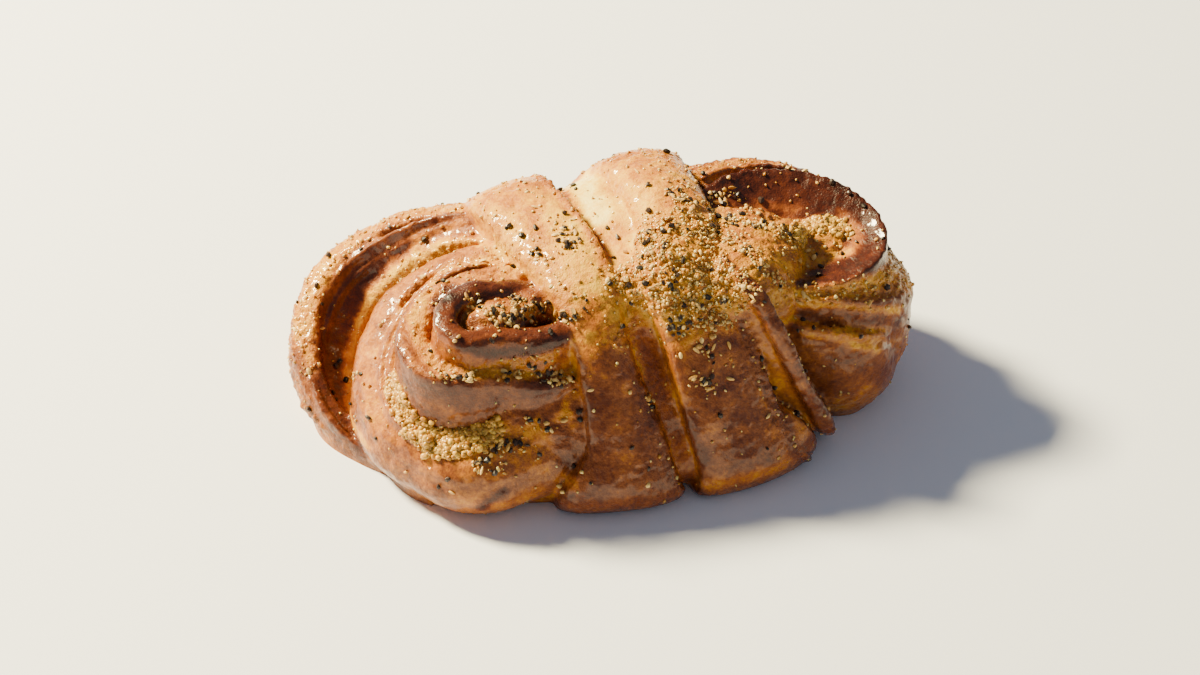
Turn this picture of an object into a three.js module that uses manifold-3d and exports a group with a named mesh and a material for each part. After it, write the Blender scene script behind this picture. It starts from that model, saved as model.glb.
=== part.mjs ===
// A cardamom bun: one strip of filled dough, coiled into a swirl at each end and wrapped
// over the middle in folds, baked as one piece. Millimetres, +Z up, standing on z = 0 with
// +X along the bun and the front of the bun towards -Y.
//
// The bun is built the way it is shaped by hand. Each turn of a swirl is a strip stood on
// its edge and led round the swirl's eye, each fold is a strip laid over the loaf from its
// back foot to its front foot, and what the swirls leave in their eyes is filling.

import * as THREE from "three";
import { mergeVertices } from "three/addons/utils/BufferGeometryUtils.js";
import Module from "manifold-3d";

const wasm = await Module();
wasm.setup();

// ---- Driving sizes, mm and degrees ---------------------------------------------------

const RING_STEP = 4.6; // distance between two sections of a strip
const TURN_STEP = 18; // and the most degrees between them
const CAP_FACES = 8; // faces across the rounded top of a strip
const BELOW_TABLE = 3; // strips run this far under the table before the base is cut flat
const FOOT_SHARES = [0, 0.2, 0.5, 1]; // heights of the points round a wall's foot, as shares

// The turns of the two swirls. A turn runs round `eye` from angle `from` to angle `to`, and
// its lists are values at even angles: `radius` and `top` of the middle of its top surface,
// its `width`, and `tilt`, how far its outer edge stands above its middle. `cap` is how far
// the top rounds down to its edges, `dish` how far its middle sinks, `belly` and `tuck` how
// far the outer wall swells and then draws in at the foot, over the lowest `round`, and
// `lean` how far the inner wall slopes towards the eye for each millimetre down.
const TURNS = {
  left_core: {
    eye: [-25, -5.5],
    from: -17,
    to: -350,
    radius: [16.5, 7, 5.3, 7.6, 8.3, 6.6, 5.6, 6.6, 13],
    top: [36, 36.5, 37, 37.4, 38.4, 39.6, 40.2, 39.4, 37.6],
    width: 5,
    tilt: 0,
    cap: 2.2,
    dish: 0,
    belly: 0.3,
    tuck: 0,
    lean: 0,
    round: 6,
  },
  left_inner: {
    eye: [-28, -3],
    from: -28,
    to: -336,
    radius: [21.5, 11.2, 9.9, 11.2, 11.2, 10.4, 9, 9.8, 14],
    top: [26.6, 29.4, 30.8, 31.4, 32.4, 34.2, 36.6, 38.2, 38.2],
    width: [7, 7, 7, 7, 6.6, 6.4, 6.2, 6.4, 6.4],
    tilt: [-0.2, -0.2, -0.1, 0.1, 0.2, 0.2, 0.2, 0, 0],
    cap: 2.4,
    dish: 0.5,
    belly: 0.4,
    tuck: 0,
    lean: 0.06,
    round: 6,
  },
  left_big: {
    eye: [-28, -2],
    from: -36,
    to: -318,
    radius: [21.5, 17.8, 17.6, 16, 17.2, 19.2, 21.6, 18.8, 19.6],
    top: [17, 17.2, 17, 17, 17.6, 21.2, 28.8, 36, 37.4],
    width: [14, 11.4, 10.8, 8.6, 8.6, 9.8, 7.4, 6, 6],
    tilt: [-3.4, -3.6, -3.4, -3, -3, -3.2, -1.6, -0.4, 0],
    cap: 3.2,
    dish: [-0.4, -0.2, 0, 0, -0.4, -0.6, 0, 0.6, 0.4],
    belly: 0.6,
    tuck: 5,
    lean: 0.1,
    round: 8,
  },
  left_gutter: {
    eye: [-28, 6],
    from: 215,
    to: 46,
    radius: [17.6, 20.4, 24.1, 26.9, 28.7, 23.1, 20.1, 18.5],
    top: [2, 3.8, 7, 12.2, 20, 30.4, 35.4, 36.8],
    width: [4, 4.6, 8.6, 8.8, 7.4, 5.6, 6.3, 7],
    tilt: [0.4, 0.6, 2.2, 2.8, 3.2, 2.2, 1, 0.5],
    cap: 1,
    dish: 1.2,
    belly: 0,
    tuck: 1,
    lean: 0.15,
    round: 6,
  },
  left_outer: {
    eye: [-28, 6],
    from: 215,
    to: 46,
    radius: [16.8, 19.6, 26.8, 33.2, 36, 31.4, 26, 24],
    top: [1.8, 3.8, 9, 17, 24, 31.2, 35.8, 37.6],
    width: [3.4, 3.6, 4.4, 6, 6.6, 6.4, 6.4, 7],
    tilt: -0.9,
    cap: 2.2,
    dish: 0,
    belly: 0.5,
    tuck: 4,
    lean: 0.15,
    round: 10,
  },
  right_inner: {
    eye: [42, -1],
    from: 150,
    to: -124,
    radius: [19, 15.4, 12, 10.6, 11, 12.8, 13.2, 11.2, 10, 11.4],
    top: [39.5, 39.2, 38.8, 38.5, 37.9, 36.8, 35.2, 33.6, 33.2, 34.2],
    width: [8, 9, 9, 9, 8.5, 8, 8.6, 8.8, 8.8, 8],
    tilt: [1, 2.8, 3.2, 3.2, 2.8, 2.2, 2, 1.8, 1.6, 0.8],
    cap: 1.2,
    dish: 0.9,
    belly: 0,
    tuck: 0,
    lean: 0.1,
    round: 6,
  },
  right_middle: {
    eye: [42, -1],
    from: 130,
    to: -126,
    radius: [24, 22, 18.2, 17, 17.2, 19.8, 17.2, 13, 13.6],
    top: [40, 38.6, 36.8, 33.8, 30.6, 29.8, 31.2, 32.6, 33],
    width: [9, 9, 9, 8.4, 7.6, 7, 4.8, 4.6, 4.6],
    tilt: [0, -0.2, -0.9, -2.2, -3.6, -4.6, -3.2, -1.2, -1],
    cap: 0.9,
    dish: 0.4,
    belly: 0,
    tuck: 7,
    lean: 0.1,
    round: 14,
  },
  right_outer: {
    eye: [42, -1],
    from: 118,
    to: -125,
    radius: [36, 27, 21.8, 19.4, 18.4, 17.6, 18.8, 15.2, 15],
    top: [33, 31, 27, 21.5, 14, 11.6, 21, 25, 27],
    width: 7,
    tilt: [-0.6, -0.6, -0.5, -0.4, -0.2, 0, 0, 0.2, 0.2],
    cap: 1.2,
    dish: 0.6,
    belly: 0.4,
    tuck: 5,
    lean: 0.14,
    round: 16,
  },
};

// The loaf's outline in the Y-Z plane that the folds follow: distance from the spine at even
// angles, from under the back foot (below +Y), over the top, to under the front foot.
const SPINE = { y: 2, z: 8 };
const ARCH = {
  from: -25,
  to: 205,
  radius: [31, 36, 38, 41.2, 42.3, 38.9, 37, 36.5, 33.4, 32.2, 33.6, 36.4, 30],
};

// The folds over the middle. Lists are values at even angles round the spine: `middle` is x
// of the fold's middle, `lift` how far it stands off the arch, `tilt` how far its right edge
// stands above its middle, and `depth` how far the strip reaches in.
const FOLDS = {
  left_fold: {
    from: -25,
    to: 205,
    middle: [-12, -12, -12, -11.6, -10.6, -8.8, -6.8, -5.8, -5.1, -4.3, -3.5, -5, -5],
    lift: [0, 0, 0, -0.4, -0.4, -1.2, -1.8, -2.2, -2, -2.4, -2.8, -2.8, -1],
    width: [15, 16, 16, 16, 16, 15.4, 14.4, 12.4, 11.2, 12.8, 16, 24, 25],
    tilt: [0, 0, 0.2, 1, 1.4, 1.6, 1.4, 0.8, 0.2, 0, 0.6, 1.6, 1.6],
    depth: 14,
    cap: 2.4,
    dish: -0.4,
  },
  right_fold: {
    from: -25,
    to: 205,
    middle: [16, 16, 16, 16.4, 17.2, 17.4, 16.6, 13.6, 15, 16.7, 18.2, 22.4, 23],
    lift: [0, 0, 0, 0, 0.2, 0.2, 0, 0, 0, -0.4, -1.4, -2.4, -1],
    width: [26, 27, 27, 25, 18.6, 16.4, 16.4, 18, 16.8, 18.5, 19, 26, 27],
    tilt: [0, 0, 0, 0, -0.4, -0.8, -1, -0.8, -0.6, -1, -1.4, -1.2, -0.6],
    depth: 16,
    cap: 2.4,
    dish: [0, 0, 0, -0.4, -1, -1.6, -1.8, -1.4, -0.8, -0.5, -0.8, -1.4, -1.4],
  },
  valley: {
    from: -25,
    to: 205,
    middle: [2, 2, 2.2, 3.4, 5, 5.6, 5.2, 4.2, 3.8, 4.8, 6.2, 8, 9],
    lift: [-3, -3, -3, -2.6, -2.4, -2.8, -3.2, -1.4, -4.6, -6, -5.8, -5.2, -3.6],
    width: [12, 12, 12, 13, 14, 14, 12, 10, 9, 9, 9, 9, 9],
    tilt: [0, 0, 0, 1, 2, 2.2, 1.8, 0.8, 0, 0, 0, 0, 0],
    depth: 12,
    cap: 0.6,
    dish: 0.3,
  },
  flap: {
    from: 110,
    to: 205,
    middle: [20.2, 24.2, 27.2, 30, 32.6, 34.8, 35],
    lift: [0, 2.2, -0.2, -4.2, -7.4, -9.6, -9.6],
    width: [3.6, 6.6, 8.2, 9.4, 11.4, 13, 13],
    tilt: [1, 2, 2.6, 2.8, 2.6, 1.6, 0],
    depth: 12,
    cap: 1.2,
    dish: 0.8,
  },
};

// Rounded bodies: the dough inside, and the filling heaped in the eye of the right swirl.
// Centre x, y, z and half sizes along x, y, z.
const HEART = [2, 2, 8, 50, 28, 26];
const LUMPS = [
  [26.5, -3, 33, 15, 13, 9.6],
  [23.5, -8, 34, 13, 11, 9],
  [29.5, -9, 31, 8.5, 9, 8],
  [31, -12, 25, 6.5, 5.5, 7],
  [25.5, 3.4, 37.6, 8, 5.2, 4.6],
  [31, 1.4, 37.8, 8, 4.6, 4.2],
  [36, -0.8, 36.6, 6.4, 4, 3.8],
  [44, 1, 30, 11, 8, 4.4],
  [49, 3, 32.6, 5.4, 3.8, 3.2],
  [-22, -5, 30, 8, 4.6, 4.4],
  [-14.5, -3.2, 33.5, 8, 3.6, 4.5],
  [-11, -12.5, 15, 9.5, 7, 8],
  [-43, 3, 3, 7, 9, 5],
];

// Toppings and crumbs of filling large enough to stand proud, fused where they lie: centre
// x, y and half sizes of each patch, and how many lie on it.
const CRUMB_PATCHES = [
  [13, -1, 11, 14, 20],
  [32, 1, 8, 6, 8],
  [-15, -6, 7, 4, 6],
  [-24, -15, 9, 2, 5],
  [-3, 9, 2.5, 9, 5],
  [-36, -15, 5, 6, 6],
  [-22, -21, 8, 3, 3],
  [46, -16, 9, 2, 3],
];
const CRUMB_SIZE = [0.9, 1.6]; // smallest and largest half size
const CRUMB_SEED = 7;

const BALL_SIDES = 18;
const TABLE_SPAN = 300; // side of the block that cuts the base flat

// ---- Shared helpers ------------------------------------------------------------------

const listed = (value, count) => (Array.isArray(value) ? value : Array(count).fill(value));

// The value of an even list at u from 0 to 1, along a smooth curve through its entries.
function along(list, u) {
  const spans = list.length - 1;
  const i = Math.min(Math.floor(u * spans), spans - 1);
  const t = u * spans - i;
  const p = [-1, 0, 1, 2].map((k) => list[THREE.MathUtils.clamp(i + k, 0, spans)]);
  const a = 2 * p[1];
  const b = p[2] - p[0];
  const c = 2 * p[0] - 5 * p[1] + 4 * p[2] - p[3];
  const d = -p[0] + 3 * p[1] - 3 * p[2] + p[3];
  return 0.5 * (a + t * (b + t * (c + t * d)));
}

// Points of the rounded top of a strip, from its right-hand edge to its left, as
// [sideways, down] from the middle of its top.
function capOutline(half, cap, dish, tilt) {
  return Array.from({ length: CAP_FACES + 1 }, (_, k) => {
    const turn = (Math.PI * k) / CAP_FACES;
    const side = half * Math.sign(Math.cos(turn)) * Math.abs(Math.cos(turn)) ** 0.8;
    const round = cap * (1 - Math.sin(turn) ** 0.8);
    const share = side / half;
    return [side, round - tilt * share + dish * (1 - share * share)];
  });
}

// A closed solid through rings of equally many points, with both ends capped.
function loft(rings) {
  const count = rings[0].length;
  const faces = [];
  for (let r = 0; r + 1 < rings.length; r++)
    for (let k = 0; k < count; k++) {
      const a = r * count + k;
      const b = r * count + ((k + 1) % count);
      faces.push(a, b, a + count, b, b + count, a + count);
    }
  const last = (rings.length - 1) * count;
  for (let k = 1; k + 1 < count; k++) faces.push(0, k + 1, k, last, last + k, last + k + 1);
  const geometry = new THREE.BufferGeometry().setFromPoints(rings.flat());
  geometry.setIndex(faces);
  return geometry;
}

function solid(geometry) {
  geometry.deleteAttribute("normal");
  geometry.deleteAttribute("uv");
  const merged = mergeVertices(geometry, 1e-4);
  return new wasm.Manifold(
    new wasm.Mesh({
      numProp: 3,
      vertProperties: new Float32Array(merged.attributes.position.array),
      triVerts: new Uint32Array(merged.index.array),
    }),
  );
}

// ---- Strips of dough -----------------------------------------------------------------

// Evenly spaced shares along a path given as a function of u, which turns through `degrees`.
function evenSteps(place, degrees) {
  const curve = Array.from({ length: 65 }, (_, i) => place(i / 64));
  const length = curve.reduce((sum, p, i) => sum + (i ? p.distanceTo(curve[i - 1]) : 0), 0);
  const count = Math.ceil(Math.max(length / RING_STEP, degrees / TURN_STEP));
  return Array.from({ length: count + 1 }, (_, i) => i / count);
}

// One turn of a swirl: a strip on its edge, from its rounded top down through the table.
function turn(shape) {
  const count = shape.radius.length;
  const lists = ["radius", "top", "width", "tilt", "dish"].map((name) => listed(shape[name], count));
  const place = (u) => {
    const angle = THREE.MathUtils.degToRad(THREE.MathUtils.lerp(shape.from, shape.to, u));
    const radius = along(lists[0], u);
    return new THREE.Vector3(
      shape.eye[0] + radius * Math.cos(angle),
      shape.eye[1] + radius * Math.sin(angle),
      along(lists[1], u),
    );
  };
  const rings = evenSteps(place, Math.abs(shape.to - shape.from)).map((u) => {
    const at = place(u);
    const ahead = place(Math.min(1, u + 0.01)).sub(place(Math.max(0, u - 0.01)));
    const out = new THREE.Vector3(-ahead.y, ahead.x, 0).normalize(); // clockwise path: left is outwards
    const half = along(lists[2], u) / 2;
    const top = capOutline(half, shape.cap, along(lists[4], u), along(lists[3], u));
    const drop = at.z + BELOW_TABLE;
    const inner = [-half - shape.lean * drop, drop];
    const edge = Math.max(at.z - top[0][1], 1);
    const round = Math.min(shape.round, 0.7 * edge);
    const levels = [...FOOT_SHARES.map((share) => share * round), (round + edge) / 2];
    const wall = levels.map((level) => {
      const swell = Math.sin((Math.PI / 2) * Math.min(1, (edge - level) / (edge - round)));
      const tucked = Math.max(0, 1 - level / round) ** 2;
      return [half + shape.belly * swell - shape.tuck * tucked, at.z - level];
    });
    const foot = [wall[0][0], drop];
    return [...top, inner, foot, ...wall].map(([side, down]) => {
      return new THREE.Vector3(at.x + out.x * side, at.y + out.y * side, at.z - down);
    });
  });
  return solid(loft(rings));
}

// One fold over the middle: a strip laid on the arch, reaching in towards the spine.
function fold(shape) {
  const count = shape.middle.length;
  const lists = ["middle", "lift", "width", "tilt", "dish"].map((name) => listed(shape[name], count));
  const place = (u) => {
    const degrees = THREE.MathUtils.lerp(shape.from, shape.to, u);
    const angle = THREE.MathUtils.degToRad(degrees);
    const share = (degrees - ARCH.from) / (ARCH.to - ARCH.from);
    const radius = along(ARCH.radius, share) + along(lists[1], u);
    return new THREE.Vector3(
      along(lists[0], u),
      SPINE.y + radius * Math.cos(angle),
      SPINE.z + radius * Math.sin(angle),
    );
  };
  const rings = evenSteps(place, Math.abs(shape.to - shape.from)).map((u) => {
    const at = place(u);
    const ahead = place(Math.min(1, u + 0.01)).sub(place(Math.max(0, u - 0.01))).normalize();
    const inward = new THREE.Vector3(0, SPINE.y - at.y, SPINE.z - at.z);
    inward.addScaledVector(ahead, -inward.dot(ahead)).normalize();
    const right = new THREE.Vector3().crossVectors(ahead, inward);
    if (right.x < 0) right.negate();
    const half = along(lists[2], u) / 2;
    const top = capOutline(half, shape.cap, along(lists[4], u), along(lists[3], u));
    const roots = [[-0.9 * half, shape.depth], [0.9 * half, shape.depth]];
    return [...top, ...roots].map(([side, down]) => {
      return at.clone().addScaledVector(right, side).addScaledVector(inward, down);
    });
  });
  return solid(loft(rings));
}

function ball([x, y, z, ...halves]) {
  const geometry = new THREE.SphereGeometry(1, BALL_SIDES, BALL_SIDES / 2);
  geometry.scale(...halves).translate(x, y, z);
  return solid(geometry);
}

// A source of even random numbers from 0 to 1 that repeats for the same seed.
function seededDraw(seed) {
  let state = seed;
  return () => {
    state = (state * 16807) % 2147483647;
    return state / 2147483647;
  };
}

// One crumb, sunk by a third where a straight line down from above meets the surface.
function crumbOn(surface, x, y, halfX, halfY, draw) {
  const turnAt = 2 * Math.PI * draw();
  const out = Math.sqrt(draw());
  const above = new THREE.Vector3(
    x + halfX * out * Math.cos(turnAt),
    y + halfY * out * Math.sin(turnAt),
    TABLE_SPAN,
  );
  const down = new THREE.Vector3(0, 0, -1);
  const [hit] = new THREE.Raycaster(above, down).intersectObject(surface);
  const size = THREE.MathUtils.lerp(...CRUMB_SIZE, draw() ** 2);
  const geometry = new THREE.IcosahedronGeometry(size, 0);
  geometry.scale(1.1, 0.8, 0.7).rotateZ(Math.PI * draw()).rotateX(0.6 * draw());
  geometry.translate(hit.point.x, hit.point.y, hit.point.z + 0.2 * size);
  return solid(geometry);
}

// ---- The bun -------------------------------------------------------------------------

const aboveTable = solid(
  new THREE.BoxGeometry(TABLE_SPAN, TABLE_SPAN, TABLE_SPAN).translate(0, 0, TABLE_SPAN / 2),
);

// All pieces joined and cut flat on the table. The largest shell alone is the bun without
// the hollows that closed inside it.
function baked(pieces) {
  const joined = pieces.reduce((sum, piece) => sum.add(piece)).intersect(aboveTable);
  return joined.decompose().reduce((a, b) => (b.volume() > a.volume() ? b : a));
}

function geometryOf(shape) {
  const mesh = shape.getMesh();
  return new THREE.BufferGeometry()
    .setAttribute("position", new THREE.BufferAttribute(mesh.vertProperties, 3))
    .setIndex(new THREE.BufferAttribute(mesh.triVerts, 1));
}

const dough = baked([
  ball(HEART),
  ...Object.values(TURNS).map(turn),
  ...Object.values(FOLDS).map(fold),
  ...LUMPS.map(ball),
]);

const surface = new THREE.Mesh(geometryOf(dough));
const draw = seededDraw(CRUMB_SEED);
const crumbs = CRUMB_PATCHES.flatMap(([x, y, halfX, halfY, count]) =>
  Array.from({ length: count }, () => crumbOn(surface, x, y, halfX, halfY, draw)),
);
const topped = baked([dough, ...crumbs]);

const bun = new THREE.Mesh(
  geometryOf(topped),
  new THREE.MeshStandardMaterial({ color: 0xb8702f, roughness: 0.4, metalness: 0 }),
);
bun.name = "bun";
bun.geometry.computeBoundingBox();
const middle = bun.geometry.boundingBox.getCenter(new THREE.Vector3());
bun.position.set(-middle.x, -middle.y, 0);

const cardamomBun = new THREE.Group();
cardamomBun.add(bun);
export default cardamomBun;
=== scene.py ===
# %% [markdown]
# # A cardamom bun, baked in Blender
# The bun is one twisted strip of sweet dough, rolled round butter, sugar and ground cardamom,
# coiled into a swirl at each end and wrapped over the middle in folds. The solid model of it
# is loaded first, as a fixed frame in metres. It has the true form in large facets. These
# cells build the bun again at the fineness of real crust, in the same box to within half a
# millimetre, and give it its colours, its wrinkles and everything that was sprinkled on it.

# %% Load the solid model
import math

import bmesh
import bpy
import numpy as np
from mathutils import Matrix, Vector, noise
from mathutils.bvhtree import BVHTree
from mathutils.kdtree import KDTree


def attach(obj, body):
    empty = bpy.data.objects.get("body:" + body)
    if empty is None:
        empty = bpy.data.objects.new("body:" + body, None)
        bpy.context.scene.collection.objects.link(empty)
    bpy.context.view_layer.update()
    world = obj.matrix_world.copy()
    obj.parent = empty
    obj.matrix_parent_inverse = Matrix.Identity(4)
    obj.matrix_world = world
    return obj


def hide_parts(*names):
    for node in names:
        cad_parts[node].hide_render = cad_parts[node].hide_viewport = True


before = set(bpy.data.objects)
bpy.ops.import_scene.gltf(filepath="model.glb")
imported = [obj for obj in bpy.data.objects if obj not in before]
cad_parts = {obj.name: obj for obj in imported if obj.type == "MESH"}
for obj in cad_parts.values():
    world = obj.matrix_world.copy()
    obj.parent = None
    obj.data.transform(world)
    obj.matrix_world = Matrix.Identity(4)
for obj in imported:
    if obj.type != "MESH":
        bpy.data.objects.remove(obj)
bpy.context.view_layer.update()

# %% [markdown]
# The swirls and folds are described from the point on the table under the loaf's middle
# fold. The solid's own zero lies under the middle of its bounding box, so the two differ by
# a fixed step. Shapes below are in millimetres until a mesh is finished.

# %% Where zero lies, and a few sizes that many cells use
MM = 0.001
ZERO = np.array([2.93, 4.63, 0.0])  # the solid's zero, in the coordinates of the swirls
TABLE_BELOW = 3.0  # strips run this far under the table, where the base is cut flat

# %% [markdown]
# The camera stands where the photographer stood: in front of the bun, a little to its left,
# looking down at 40 degrees with a short telephoto lens, which keeps the far swirl from
# shrinking. From here on, a point can be named by the place where it shows in a picture
# 1200 pixels wide, which is how a baker would point at the photograph.

# %% Camera
PICTURE = (1200, 675)
CAMERA_AZIMUTH = math.radians(-19)
CAMERA_HEIGHT = math.radians(40)
LENS = 85.0
SENSOR = 36.0
PIXEL = 0.2  # millimetres of bun that one pixel of the picture shows
AIM = np.array([0.0, 0.0, 20.0]) - ZERO

towards_camera = np.array([
    math.sin(CAMERA_AZIMUTH) * math.cos(CAMERA_HEIGHT),
    -math.cos(CAMERA_AZIMUTH) * math.cos(CAMERA_HEIGHT),
    math.sin(CAMERA_HEIGHT),
])
camera_right = np.array([math.cos(CAMERA_AZIMUTH), math.sin(CAMERA_AZIMUTH), 0.0])
camera_up = np.cross(towards_camera, camera_right)
camera_at = AIM + towards_camera * PIXEL * PICTURE[0] * LENS / SENSOR

camera_data = bpy.data.cameras.new("camera")
camera_data.lens = LENS
camera_data.sensor_width = SENSOR
camera_data.clip_start = 0.01
camera = bpy.data.objects.new("camera", camera_data)
camera.location = camera_at * MM
camera.rotation_euler = Vector(towards_camera).to_track_quat("Z", "Y").to_euler()
bpy.context.scene.collection.objects.link(camera)
bpy.context.scene.camera = camera
print("camera at, m:", [round(v, 3) for v in camera.location])

# %% [markdown]
# ## The strips of dough
# A swirl could be sculpted, but a baker makes it from a strip, and so does this cell. Each
# turn runs round an eye. Its lists are values at even angles: how far out the strip's top
# lies, how high, how wide it is and how far its outer edge is tilted up. One smooth curve
# through each list gives the strip at any fineness, and a change to one number moves one
# part of one turn, as a thumb would.

# %% Turns of the two swirls, mm and degrees
TURNS = {
    "left_core": dict(
        eye=(-25, -5.5), start=-17, end=-350,
        radius=[16.5, 7, 5.3, 7.6, 8.3, 6.6, 5.6, 6.6, 13],
        top=[36, 36.5, 37, 37.4, 38.4, 39.6, 40.2, 39.4, 37.6],
        width=5, tilt=0, cap=2.2, dish=0, belly=0.3, tuck=0, lean=0, round=6),
    "left_inner": dict(
        eye=(-28, -3), start=-28, end=-336,
        radius=[21.5, 11.2, 9.9, 11.2, 11.2, 10.4, 9, 9.8, 14],
        top=[26.6, 29.4, 30.8, 31.4, 32.4, 34.2, 36.6, 38.2, 38.2],
        width=[7, 7, 7, 7, 6.6, 6.4, 6.2, 6.4, 6.4],
        tilt=[-0.2, -0.2, -0.1, 0.1, 0.2, 0.2, 0.2, 0, 0],
        cap=2.4, dish=0.5, belly=0.4, tuck=0, lean=0.06, round=6),
    "left_big": dict(
        eye=(-28, -2), start=-36, end=-318,
        radius=[21.5, 17.8, 17.6, 16, 17.2, 19.2, 21.6, 18.8, 19.6],
        top=[17, 17.2, 17, 17, 17.6, 21.2, 28.8, 36, 37.4],
        width=[14, 11.4, 10.8, 8.6, 8.6, 9.8, 7.4, 6, 6],
        tilt=[-3.4, -3.6, -3.4, -3, -3, -3.2, -1.6, -0.4, 0],
        cap=3.2, dish=[-0.4, -0.2, 0, 0, -0.4, -0.6, 0, 0.6, 0.4],
        belly=0.6, tuck=5, lean=0.1, round=8),
    "left_gutter": dict(
        eye=(-28, 6), start=215, end=46,
        radius=[17.6, 20.4, 24.1, 26.9, 28.7, 23.1, 20.1, 18.5],
        top=[2, 3.8, 7, 12.2, 20, 30.4, 35.4, 36.8],
        width=[4, 4.6, 8.6, 8.8, 7.4, 5.6, 6.3, 7],
        tilt=[0.4, 0.6, 2.2, 2.8, 3.2, 2.2, 1, 0.5],
        cap=1, dish=1.2, belly=0, tuck=1, lean=0.15, round=6),
    "left_outer": dict(
        eye=(-28, 6), start=215, end=46,
        radius=[16.8, 19.6, 26.8, 33.2, 36, 31.4, 26, 24],
        top=[1.8, 3.8, 9, 17, 24, 31.2, 35.8, 37.6],
        width=[3.4, 3.6, 4.4, 6, 6.6, 6.4, 6.4, 7],
        tilt=-0.9, cap=2.2, dish=0, belly=0.5, tuck=4, lean=0.15, round=10),
    "right_inner": dict(
        eye=(42, -1), start=150, end=-124,
        radius=[19, 15.4, 12, 10.6, 11, 12.6, 12.4, 10.1, 9.1, 11],
        top=[39.5, 39.2, 38.8, 38.5, 37.9, 36.8, 35.6, 34.4, 33.9, 34.4],
        width=[8, 9, 9, 9, 8.5, 8.4, 10.2, 11, 10.6, 8.8],
        tilt=[1, 2.8, 3.2, 3.2, 2.8, 2.2, 1.6, 1, 0.9, 0.6],
        cap=1.2, dish=0.9, belly=0, tuck=0, lean=0.1, round=6),
    "right_middle": dict(
        eye=(42, -1), start=130, end=-126,
        radius=[24, 22, 18.2, 17, 17.2, 19.8, 17.2, 13, 13.6],
        top=[40, 38.6, 36.8, 33.8, 30.6, 29.8, 31.2, 32.6, 33],
        width=[9, 9, 9, 8.4, 7.6, 7, 4.8, 4.6, 4.6],
        tilt=[0, -0.2, -0.9, -2.2, -3.6, -4.6, -3.2, -1.2, -1],
        cap=0.9, dish=0.4, belly=0, tuck=7, lean=0.1, round=14),
    "right_outer": dict(
        eye=(42, -1), start=118, end=-125,
        radius=[36, 27, 21.8, 19.4, 18.4, 17.6, 18.8, 15.2, 15],
        top=[33, 31, 27, 21.5, 14, 11.6, 21, 25, 27],
        width=7, tilt=[-0.6, -0.6, -0.5, -0.4, -0.2, 0, 0, 0.2, 0.2],
        cap=1.2, dish=0.6, belly=0.4, tuck=5, lean=0.14, round=16),
}

# %% [markdown]
# Where two layers of the rolled strip parted in the oven, a thin lip stands between the
# turns. The lips and the crests of the folds are strips too, 1 to 3 mm wide. They catch the
# light, so they draw the lines of the swirl.

# %% Thin lips between the turns, mm and degrees
LIPS = {
    "gutter_lip": dict(
        eye=(-28, 6), start=215, end=46,
        radius=[19.8, 22.7, 28.2, 31.1, 32.3, 25.8, 23, 22],
        top=[2.4, 4.6, 9.9, 15.9, 24, 33, 36.4, 36.9], width=1.3),
    "gutter_second_lip": dict(
        eye=(-28, 6), start=215, end=46,
        radius=[18.2, 21, 26.5, 29.4, 30.5, 24.1, 21.6, 20.4],
        top=[1.6, 3.6, 8.0, 13.7, 21.5, 30.9, 35.4, 36.4], width=1),
    "swirl_lip": dict(
        eye=(-28, -2), start=-132, end=-318,
        radius=[16, 15.8, 15.1, 14, 13.6, 15.6],
        top=[17.4, 19.2, 23.6, 31.2, 35.8, 36.8], width=1.5),
    "swirl_second_lip": dict(
        eye=(-28, -2), start=-132, end=-318,
        radius=[17.6, 17.5, 17.1, 16.2, 15.6, 17.6],
        top=[17, 18.6, 22.6, 29.8, 35, 36.6], width=1.5),
    "right_back_lip": dict(
        eye=(42, -1), start=128, end=50,
        radius=[23.4, 20.8, 18.4, 16],
        top=[41, 40.4, 39.6, 38.4], width=1.4),
    "right_upper_crest": dict(
        eye=(42, -1), start=-36, end=-124,
        radius=[21.4, 19, 15.8, 14.8, 15.2],
        top=[27.4, 29.6, 31.5, 32.6, 33], width=2, tuck=9, round=20, lean=0.1),
    "right_lower_crest": dict(
        eye=(42, -1), start=-52, end=-122,
        radius=[20.6, 19.4, 17.8, 17.4],
        top=[21.4, 24.4, 26.8, 28], width=2.4, tuck=9, round=18, lean=0.1),
}
FOLD_LIPS = {
    "front_crest": dict(
        start=118, end=192,
        middle=[21.8, 23.4, 25.6, 28.2, 34],
        lift=[-0.6, -0.7, -1.2, -2.2, -2.9], width=1.9),
    "flap_crest": dict(
        start=110, end=205,
        middle=[20.6, 25.8, 29.6, 33.1, 36.7, 39.7, 40],
        lift=[1, 4.1, 2.3, -1.5, -5, -8.1, -9.4], width=3.2, cap=1.3, tilt=0.5),
    "top_crest": dict(
        start=32, end=112,
        middle=[-4.6, -3.6, -2.1, -0.6, -0.5],
        lift=[0.1, 0.3, -0.3, -0.9, -2.1], width=1.5),
}
LIP_WALLS = dict(tilt=0, cap=0.6, dish=0, belly=0, tuck=0, lean=0.22, round=2)
FOLD_LIP_WALLS = dict(tilt=0, cap=0.6, dish=0, depth=5)

# %% [markdown]
# The folds lie over the loaf instead. They follow its outline in the Y-Z plane, from under
# the back to under the front, and their lists say where each fold's middle is, how far it
# stands off that outline, its width and its tilt.

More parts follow.
